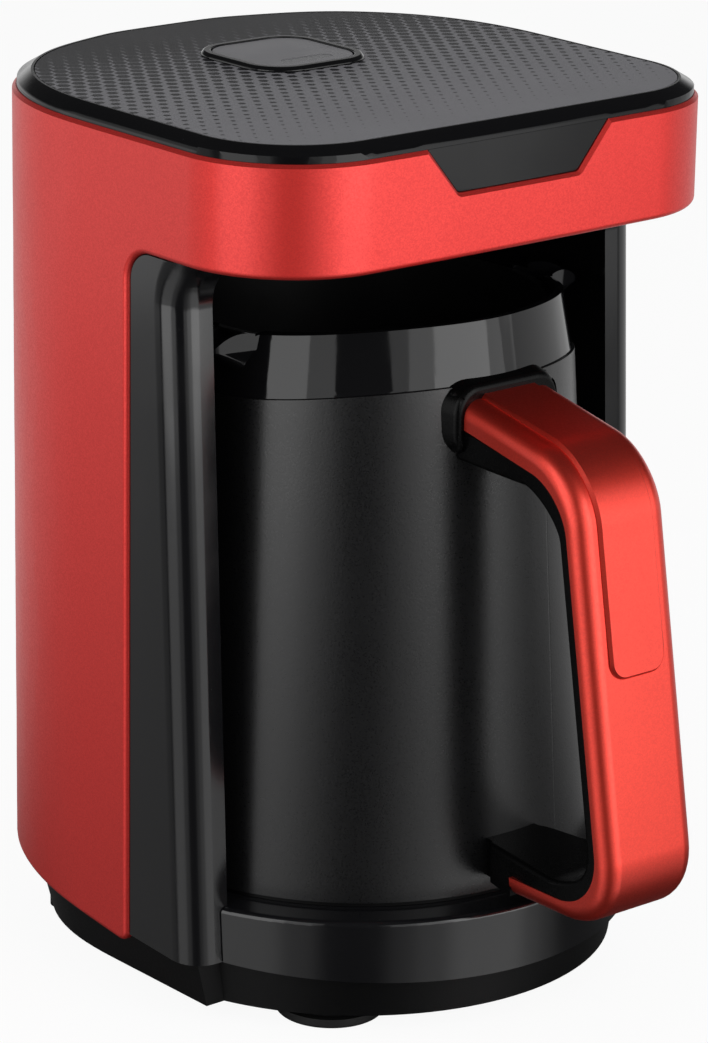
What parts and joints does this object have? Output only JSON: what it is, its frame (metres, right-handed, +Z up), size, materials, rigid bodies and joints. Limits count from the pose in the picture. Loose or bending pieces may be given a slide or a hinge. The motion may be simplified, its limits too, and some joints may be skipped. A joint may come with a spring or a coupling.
{
  "type": "electric turkish coffee maker",
  "caption": "Electric Turkish coffee maker: red C-shaped body with a black bay, a lift-off pot with a side handle and pouring lips, and a push button on the lid.",
  "frame": {"origin": "centre of the plan bounding box, on the floor under the feet", "axes": "+Z up, -Y towards the front where the pot's handle points, +X to the right seen from the front"},
  "size_m": [0.1586, 0.2098, 0.2363],
  "materials": {
    "red_shell": "satin metallic red lacquer",
    "red_handle": "satin metallic red lacquer",
    "gloss_black": "high gloss black",
    "satin_black": "satin black",
    "matte_black": "fine textured black",
    "pot_black": "matte fine grained black coating",
    "collar_black": "polished black",
    "panel_grey": "satin dark grey with a dot pattern",
    "button_grey": "satin dark grey",
    "light_window": "smoked translucent",
    "switch_plastic": "satin",
    "board_green": "solder mask",
    "relay_blue": "satin",
    "transformer_yellow": "tape wound",
    "sensor_glass": "dark infrared window",
    "sensor_can": "bright plated",
    "contact_brass": "bright",
    "cup_coating": "dark non-stick coating",
    "spreader_aluminium": "as rolled",
    "element_steel": "heat darkened",
    "clamp_steel": "zinc plated",
    "thermostat_body": "pressed",
    "screw_steel": "zinc plated",
    "foot_rubber": "matte",
    "gland_rubber": "matte"
  },
  "bodies": {
    "machine": {"outer_shell": "red_shell", "bay_housing": "gloss_black", "bay_ceiling": "satin_black", "platform": "gloss_black", "base_plate": "matte_black", "rubber_feet": "foot_rubber", "base_screws": "screw_steel", "ceiling_screws": "screw_steel", "cord_gland": "gland_rubber", "top_bezel": "gloss_black", "top_panel": "panel_grey", "button_bezel": "gloss_black", "tact_switch": "switch_plastic", "control_board": "board_green", "board_screws": "screw_steel", "relay": "relay_blue", "transformer": "transformer_yellow", "buzzer": "satin_black", "sensor_window": "sensor_glass", "boil_sensor": "sensor_can", "base_connector": "matte_black"},
    "pot": {"pot_sleeve": "pot_black", "pot_collar": "collar_black", "inner_cup": "cup_coating", "pot_base": "matte_black", "pot_base_screws": "screw_steel", "heat_spreader": "spreader_aluminium", "heating_element": "element_steel", "element_clamp": "clamp_steel", "thermostat": "thermostat_body", "thermal_fuse": "sensor_can", "pot_connector": "satin_black", "contact_pads": "contact_brass", "handle_grip": "satin_black", "handle_cover": "red_handle", "handle_inlay": "red_handle", "handle_screws": "screw_steel"},
    "start_button": {"start_button": "button_grey", "button_light": "light_window", "switch_plunger": "switch_plastic"},
    "contact_pins": {"contact_pins": "contact_brass"}
  },
  "joints": [
    {"name": "pot_lift", "type": "slide", "parent": "machine", "child": "pot", "axis": [0, -0.9903, 0.1392], "range_m": [0, 0.155]},
    {"name": "button_press", "type": "slide", "parent": "machine", "child": "start_button", "axis": [0, 0, -1], "range_m": [0, 0.0008], "stiffness_N_per_m": 800},
    {"name": "pin_press", "type": "slide", "parent": "machine", "child": "contact_pins", "axis": [0, 0, -1], "range_m": [0, 0.001], "stiffness_N_per_m": 500}
  ]
}
